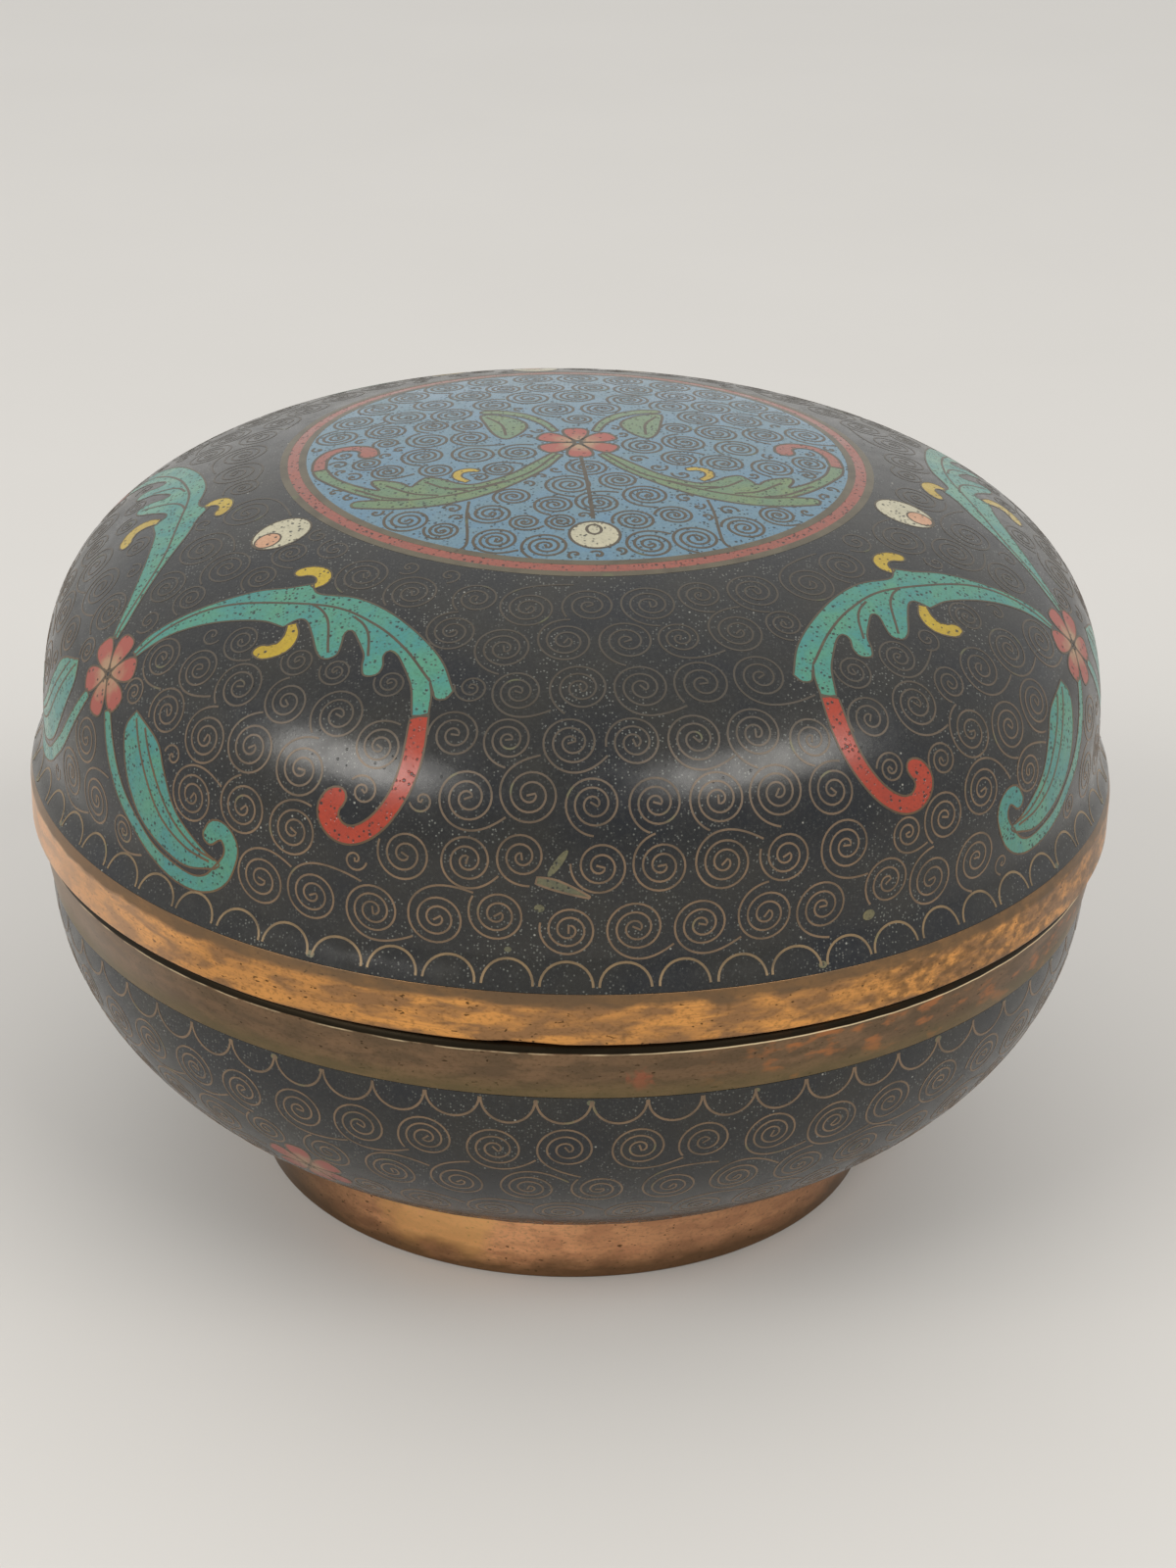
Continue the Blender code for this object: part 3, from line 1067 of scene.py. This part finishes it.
def flower(inlays, wires, chart, size, width=wire_width):
    """Six petals round a small eye."""
    length = petal_length * size
    for index in range(petal_count):
        turn = pi / 2 + index * tau / petal_count
        outline = petal(turn, length, petal_half_width * size, petal_root * size)
        cell(inlays, wires, chart, outline, width, lambda points: np.hypot(*points.T) / length)
    wires.add(chart, oval(0, 0, eye_radius * size, eye_radius * size), width, closed=True)


def lid_motif(azimuth, along, tall, lean, inlays, wires):
    """One flower with a scroll and a hooked leaf on each side, and the bud above it."""
    for mirror in (1, -1):
        chart = on_side(dome, radians(azimuth), along, mirror, tall, lean)
        for outline in (scroll_outline, leaf_edges, hooked_stem):
            cell(inlays["lid_turquoise"], wires, chart, outline)
        for line in (scroll_rib, first_rib, second_rib, leaf_rib, leaf_side_rib):
            wires.add(chart, line, rib_width)
        cell(inlays["lid_red"], wires, chart, red_tendril)
        for outline in (upper_curl, lower_curl):
            cell(inlays["lid_yellow"], wires, chart, outline)
    flower(inlays["lid_petals"], wires, on_side(dome, radians(azimuth), along), lid_flower_size)
    chart = on_side(dome, radians(azimuth + bud_turn), bud_along)
    cell(inlays["lid_buds"], wires, chart, bud_outline)
    cell(inlays["bud_hearts"], wires, chart, bud_heart)


def ring_line(radius):
    """A circle round the middle of the lid."""
    angles = np.linspace(0, tau, ring_steps, endpoint=False)
    return np.column_stack([radius * np.sin(angles), radius * np.cos(angles)])


def medallion(inlays, wires, ring_wires):
    """The motif in the middle of the lid, and the two ring wires round it."""
    facing = radians(medallion_azimuth)
    for mirror in (1, -1):
        chart = on_top(facing, mirror)
        for outline in (top_scroll_outline, top_leaf, top_leaf_stem):
            cell(inlays["medallion_leaves"], wires, chart, outline, top_wire_width)
        for line in (top_scroll_rib, top_leaf_rib, top_thread, *top_side_ribs):
            wires.add(chart, line, top_wire_width)
        cell(inlays["medallion_tendrils"], wires, chart, top_red_tendril, top_wire_width)
        cell(inlays["medallion_curls"], wires, chart, top_curl)
    chart = on_top(facing)
    flower(inlays["medallion_petals"], wires, chart, top_flower_size, top_wire_width)
    cell(inlays["medallion_bud"], wires, chart, medallion_bud, top_wire_width)
    wires.add(chart, medallion_bud_heart, top_wire_width, closed=True)
    wires.add(chart, bud_stem, bud_stem_width)
    for radius in (medallion_radius, ring_outer_radius):
        ring_wires.add(chart, ring_line(radius), ring_wire_width, closed=True)


def ring_inlay(name, inner_radius, outer_radius, material):
    """A turned inlay round the middle of the lid, between two lengths along its section."""
    steps = max(int(round((outer_radius - inner_radius) / fill_step)), 2)
    lengths = np.linspace(inner_radius, outer_radius, steps + 1) * mm
    upper = dome.section_at(lengths, -first_inlay_depth)
    lower = dome.section_at(lengths, -first_inlay_depth - inlay_thickness)
    closed = inner_radius > 0
    if not closed:
        upper[0, 0] = lower[0, 0] = 0
    points, faces, _ = turned(np.concatenate([upper, lower[::-1]]), closed)
    new_piece(name, points, faces, [material])


def scallops(side, wires, count, height, start, inward, foot_gap):
    """A row of arches along a band. Inward is the way from the band into the pattern."""
    pitch = tau * side.radius(start * mm) / mm / count
    angles = np.linspace(0, pi, arch_steps + 1)
    for index in range(count):
        width = pitch - foot_gap * random.uniform(0.6, 1.4)
        tall = height * random.uniform(0.94, 1.05)
        arch = np.column_stack([-width / 2 * np.cos(angles), inward * tall * np.sin(angles)])
        azimuth = tau * index / count + random.normal(0, 0.0008)
        wires.add(on_side(side, azimuth, start), arch, scallop_wire_width)


def verdigris(colour, side, count, start):
    """Small green crusts where some of the scallops' feet meet the band."""
    for index in range(count):
        if random.random() > 0.35:
            continue
        chart = on_side(side, tau * (index + 0.5) / count, start)
        size = random.uniform(0.18, 0.42)
        colour.add(chart, oval(random.normal(0, 0.1), 0.1, 1.3 * size, size))


def old_repairs(colour, wires):
    """Two filled leaf cells and a few crusts that the photograph shows on the front of the lid."""
    chart = on_side(dome, radians(-0.65), 68.6)
    leaf = band_outline([(-2.4, 0.75, 0.35), (-0.8, 0.4, 0.52), (1.0, -0.2, 0.38), (2.6, -0.8, 0.12)])
    cell(colour, wires, chart, leaf)
    colour.add(on_side(dome, radians(-1.05), 66.1), oval(0, 0, 1.6, 0.38, 0.97))
    for azimuth, along, size in ((-2.7, 70.7, 0.5), (30.4, 74.7, 0.7), (-5.6, 75.2, 0.35)):
        chart = on_side(dome, radians(azimuth), along)
        colour.add(chart, oval(0, 0, size, 0.8 * size))


class Ground:
    """The spirals between the motifs. Rooms are kept in metres, as distances in space."""

    def __init__(self, side, chart, limits, obstacles, wires, width=wire_width, apart=spiral_apart):
        self.side = side
        self.width = width
        self.apart = apart
        self.limits = limits
        self.chart = chart
        self.wires = wires
        self.tree = kdtree.KDTree(len(obstacles))
        for index, point in enumerate(obstacles):
            self.tree.insert(point, index)
        self.tree.balance()
        self.azimuths, self.alongs, self.rooms = side_area(side, *limits)
        self.places = side.place(self.azimuths, self.alongs)
        nearest = [self.tree.find(place)[2] for place in self.places]
        self.rooms = np.minimum(self.rooms, nearest)
        self.spirals = []
        self.arms = []

    def take(self, points, radius):
        """Nothing else is put within the radius of these points."""
        for point in points:
            distances = np.linalg.norm(self.places - point, axis=1)
            self.rooms = np.minimum(self.rooms, distances - radius)

    def best_place(self, azimuth, along, wanted, reach):
        """The nearest place with enough room, or else the roomiest one within reach."""
        place = self.side.place(azimuth, along)[0]
        distances = np.linalg.norm(self.places - place, axis=1)
        nearest = int(np.argmin(distances))
        if self.rooms[nearest] >= wanted:
            return azimuth, along, wanted
        near = np.flatnonzero(distances < reach)
        roomy = near[self.rooms[near] >= wanted]
        if len(roomy):
            best = roomy[np.argmin(distances[roomy])]
        elif len(near):
            best = near[np.argmax(self.rooms[near])]
        else:
            best = nearest
        return self.azimuths[best], self.alongs[best], min(self.rooms[best], wanted)

    def put(self, azimuth, along, radius, turns, handed, outer_angle):
        place = self.side.place(azimuth, along)[0]
        self.spirals.append((place, radius))
        chart = self.chart(azimuth, along / mm)
        self.wires.add(chart, spiral(radius / mm, turns, handed, outer_angle), self.width)
        self.take([place], radius + self.apart * mm)
        return chart

    def clear_steps(self, alongs, places, own):
        """How many points of an arm, from its start, keep clear of everything else."""
        first, last = self.limits
        blocked = (alongs < first * mm) | (alongs > last * mm)
        blocked |= np.array([self.tree.find(place)[2] < arm_to_inlay * mm for place in places])
        middles, radii = zip(*self.spirals)
        spaces = np.linalg.norm(places[:, None] - np.array(middles)[None], axis=2) - np.array(radii)
        spaces[:, own] = 1
        blocked |= spaces.min(axis=1) < arm_to_spiral * mm
        if self.arms:
            spaces = np.linalg.norm(places[:, None] - np.array(self.arms)[None], axis=2)
            blocked |= spaces.min(axis=1) < arm_to_arm * mm
        return int(np.argmax(blocked)) if blocked.any() else len(places)


def side_area(side, first, last, step=0.75):
    """Places spread over a side between two lengths along it, with the room to either edge."""
    azimuths = []
    alongs = []
    rooms = []
    for along in np.arange(first, last, step):
        count = int(tau * side.radius(along * mm) / mm / step)
        azimuths.append(tau * np.arange(count) / count)
        alongs.append(np.full(count, along * mm))
        rooms.append(np.full(count, min(along - first, last - along) * mm))
    return np.concatenate(azimuths), np.concatenate(alongs), np.concatenate(rooms)


def spiral_rows(ground, rows, radius, turns, least):
    """Rows of equal spirals, smaller or left out where a motif is in the way."""
    arms = []
    for first_azimuth, along, pitch, over_share in rows:
        count = int(round(tau * ground.side.radius(along * mm) / mm / pitch))
        for index in range(count):
            azimuth = radians(first_azimuth) + tau * index / count
            azimuth += random.normal(0, spiral_wander) * mm / ground.side.radius(along * mm)
            here = (along + random.normal(0, spiral_wander)) * mm
            wanted = (radius * random.uniform(0.97, 1.03) + spiral_room) * mm
            azimuth, here, room = ground.best_place(azimuth, here, wanted, spiral_reach * mm)
            size = room / mm - spiral_room
            if size < least:
                continue
            over = random.random() < over_share
            handed = -1 if over else 1
            outer_angle = radians(170 if over else 190) + random.normal(0, 0.25)
            shape = (size * mm, turns * random.uniform(0.92, 1.06) * sqrt(size / radius))
            chart = ground.put(azimuth, here, *shape, handed, outer_angle)
            arms.append((len(ground.spirals) - 1, chart, size, handed, outer_angle))
    add_arms(ground, arms)


def add_arms(ground, arms):
    """Each spiral's outer end runs on until it meets something."""
    for own, chart, size, handed, outer_angle in arms:
        line = arm(size, handed, outer_angle)
        azimuths, alongs = chart(line)
        places = ground.side.place(azimuths, alongs)
        clear = ground.clear_steps(alongs, places, own)
        if clear < 3:
            continue
        start = size * np.array([[cos(outer_angle), sin(outer_angle)]])
        ground.wires.add(chart, np.concatenate([start, line[:clear]]), ground.width)
        ground.arms += list(places[2:clear])
        ground.take(places[:clear:3], room_round_arm * mm)


def spiral_fillers(ground, sizes, pitch):
    """Smaller and smaller spirals and commas where there is room left."""
    for size in sizes:
        while True:
            index = int(np.argmax(ground.rooms > (size + spiral_room) * mm))
            if ground.rooms[index] <= (size + spiral_room) * mm:
                break
            turns = max(size / pitch * random.uniform(0.85, 1.0), 0.8)
            handed = 1 if random.random() < 0.5 else -1
            place = (ground.azimuths[index], ground.alongs[index])
            ground.put(*place, size * mm, turns, handed, random.uniform(0, tau))


# The room round the box

floor_reach = 3.0
light_distance = 1.2
windows = {  # azimuth and along of its reflection, its size and power
    "left_window": (-22.1, 58.6, (0.72, 0.38), 6.2),
    "right_window": (19.2, 57.6, (0.85, 0.38), 5.6),
}


def studio():
    """A pale room, dimmer behind the camera than behind the box."""
    world = bpy.data.worlds.new("studio")
    bpy.context.scene.world = world
    world.use_nodes = True
    tree = world.node_tree
    direction = tree.nodes.new("ShaderNodeTexCoord")
    parts = tree.nodes.new("ShaderNodeSeparateXYZ")
    strength = tree.nodes.new("ShaderNodeMapRange")
    tree.links.new(direction.outputs["Generated"], parts.inputs["Vector"])
    tree.links.new(parts.outputs["Y"], strength.inputs["Value"])
    for name, value in {"From Min": -0.9, "From Max": 0.5, "To Min": 0.60, "To Max": 0.94}.items():
        strength.inputs[name].default_value = value
    background = tree.nodes["Background"]
    background.inputs["Color"].default_value = (1.0, 0.985, 0.955, 1)
    tree.links.new(strength.outputs["Result"], background.inputs["Strength"])
    bpy.context.scene.view_settings.view_transform = "Standard"


def mirror_light(name, azimuth, along, size, power, camera_place):
    """A soft light where the camera sees it mirrored in this place on the dome."""
    place = Vector(dome.place(radians(azimuth), along * mm)[0])
    above = Vector(dome.place(radians(azimuth), along * mm, 1.0)[0])
    normal = (above - place).normalized()
    seen = (place - camera_place).normalized()
    away = seen - 2 * seen.dot(normal) * normal
    lamp = bpy.data.lights.new(name, "AREA")
    lamp.shape = "RECTANGLE"
    lamp.size, lamp.size_y = size
    lamp.energy = power
    lamp.color = (1.0, 0.97, 0.92)
    holder = bpy.data.objects.new(name, lamp)
    bpy.context.scene.collection.objects.link(holder)
    holder.location = place + away * light_distance
    holder.rotation_euler = (-away).to_track_quat("-Z", "Y").to_euler()


def pale_floor():
    made = Finish("pale_floor", (0.60, 0.59, 0.575))
    made.tint(made.noise(60.0, 3.0), (0.625, 0.615, 0.60))
    made.set(Roughness=0.8)
    corners = [(-1, -1), (1, -1), (1, 1), (-1, 1)]
    mesh = bpy.data.meshes.new("pale_floor")
    mesh.from_pydata([(floor_reach * x, floor_reach * y, 0) for x, y in corners], [], [(0, 1, 2, 3)])
    mesh.materials.append(made.material)
    floor = bpy.data.objects.new("pale_floor", mesh)
    bpy.context.scene.collection.objects.link(floor)


# The camera as fitted to the photograph
camera_distance = 5.6645  # in lid band radii
camera_height = 3.4016
camera_yaw = 0.0058
camera_pitch = 0.4431
camera_roll = -0.0236
camera_lens = 76.5


def add_camera():
    right_level = Vector((cos(camera_yaw), -sin(camera_yaw), 0))
    forward = Vector((
        sin(camera_yaw) * cos(camera_pitch), cos(camera_yaw) * cos(camera_pitch), -sin(camera_pitch),
    ))
    up_level = right_level.cross(forward)
    right = cos(camera_roll) * right_level - sin(camera_roll) * up_level
    up = sin(camera_roll) * right_level + cos(camera_roll) * up_level
    lens = bpy.data.cameras.new("camera")
    lens.lens = camera_lens
    lens.sensor_width = 36
    lens.sensor_fit = "AUTO"
    camera = bpy.data.objects.new("camera", lens)
    bpy.context.scene.collection.objects.link(camera)
    turn = Matrix((right, up, -forward)).transposed().to_4x4()
    place = Vector((0, -camera_distance, camera_height)) * lid_band_high.x
    camera.matrix_world = Matrix.Translation(place) @ turn
    bpy.context.scene.camera = camera
    return place


# Everything in order

def copper_and_enamel(finishes):
    """The walls, the bands and the foot ring, each in the place of its solid."""
    both_sides = [black_enamel(), finishes["lining_enamel"]]
    lid_enamel(both_sides)
    bowl_enamel(both_sides)
    lid_band(lid_band_copper())
    base_band(base_band_copper())
    foot_ring(foot_copper())


def lid_pattern(finishes):
    """Medallion, motifs, ground and scallops."""
    blue = finishes["blue_enamel"]
    coral = finishes["coral_enamel"]
    ring_inlay("medallion_blue", 0, medallion_radius, blue)
    ring_inlay("medallion_ring", medallion_radius, ring_outer_radius, coral)
    inlays = {name: Inlays(dome, depth) for name, (_, _, depth) in lid_inlays.items()}
    motif_wires = Wires(dome)
    medallion_wires = Wires(dome)
    ring_wires = Wires(dome)
    for motif in motifs:
        lid_motif(*motif, inlays, motif_wires)
    medallion(inlays, medallion_wires, ring_wires)
    for name, (finish, slot, _) in lid_inlays.items():
        inlays[name].piece(name, finishes[finish], slot)
    lid_ground(obstacles(inlays, "lid_"), finishes)
    medallion_ground(obstacles(inlays, "medallion_"), medallion_wires)
    motif_wires.piece("lid_motif_wires", finishes["motif_wire"])
    medallion_wires.piece("medallion_wires", finishes["motif_wire"])
    ring_wires.piece("medallion_ring_wires", finishes["ring_wire"])


def obstacles(inlays, start):
    """Places on the inlays whose names start so."""
    return [inlays[name].obstacles() for name in inlays if name.startswith(start)]


def lid_ground(motif_places, finishes):
    """Spirals between the motifs, scallops along the band, and old repairs and crusts."""
    wires = Wires(dome)
    crusts = Inlays(dome, second_inlay_depth)
    old_repairs(crusts, wires)
    foot = dome.along[-1] / mm - scallop_edge
    limits = (ring_edge_radius + 0.3, foot - scallop_height - 0.1)
    places = np.concatenate([crusts.obstacles(), *motif_places])
    ground = Ground(dome, partial(on_side, dome), limits, places, wires)
    spiral_rows(ground, lid_rows, *lid_spirals)
    spiral_fillers(ground, *lid_fillers)
    scallop_wires = Wires(dome)
    scallops(dome, scallop_wires, scallop_count, scallop_height, foot, 1, scallop_gap)
    verdigris(crusts, dome, scallop_count, foot)
    scallop_wires.piece("lid_scallops", finishes["edge_wire"])
    crusts.piece("lid_crusts", finishes["crust"], "black_enamel")
    wires.piece("lid_ground_wires", finishes["ground_wire"])


def medallion_ground(motif_places, wires):
    """Spirals round the motif in the middle of the lid."""
    charts = [on_top(radians(medallion_azimuth), mirror) for mirror in (1, -1)]
    threads = [dome.place(*chart(top_thread)) for chart in charts]
    limits = (0.4, medallion_radius - 0.4)
    places = np.concatenate([*motif_places, *threads])
    ground = Ground(dome, small_on_top, limits, places, wires, top_wire_width, top_spiral_apart)
    ground.rooms = np.where(ground.alongs < 1 * mm, 0, ground.rooms)
    spiral_rows(ground, top_rows, *top_spirals)
    spiral_fillers(ground, *top_fillers)


def bowl_pattern(finishes):
    """Three flowers, spirals between them, swags along the band and crusts at their feet."""
    wires = Wires(bowl)
    petals = Inlays(bowl, first_inlay_depth)
    crusts = Inlays(bowl, second_inlay_depth)
    for azimuth in base_flower_azimuths:
        flower(petals, wires, on_side(bowl, radians(azimuth), base_flower_along), base_flower_size)
    limits = (swag_edge + swag_height + 0.1, bowl.along[-1] / mm - 1.0)
    ground = Ground(bowl, partial(on_side, bowl), limits, petals.obstacles(), wires)
    spiral_rows(ground, bowl_rows, *bowl_spirals)
    spiral_fillers(ground, *bowl_fillers)
    scallops(bowl, wires, swag_count, swag_height, swag_edge, -1, swag_gap)
    verdigris(crusts, bowl, swag_count, swag_edge + 0.3)
    petals.piece("bowl_petals", finishes["petal_enamel"], "red_enamel")
    wires.piece("bowl_wires", finishes["ground_wire"])
    crusts.piece("bowl_crusts", finishes["crust"], "black_enamel")


def main():
    """The lid's pattern is drawn before the bowl's, because both take their random values in turn."""
    camera_place = add_camera()
    studio()
    for name, window in windows.items():
        mirror_light(name, *window, camera_place)
    pale_floor()
    finishes = all_finishes()
    copper_and_enamel(finishes)
    lid_pattern(finishes)
    bowl_pattern(finishes)


main()
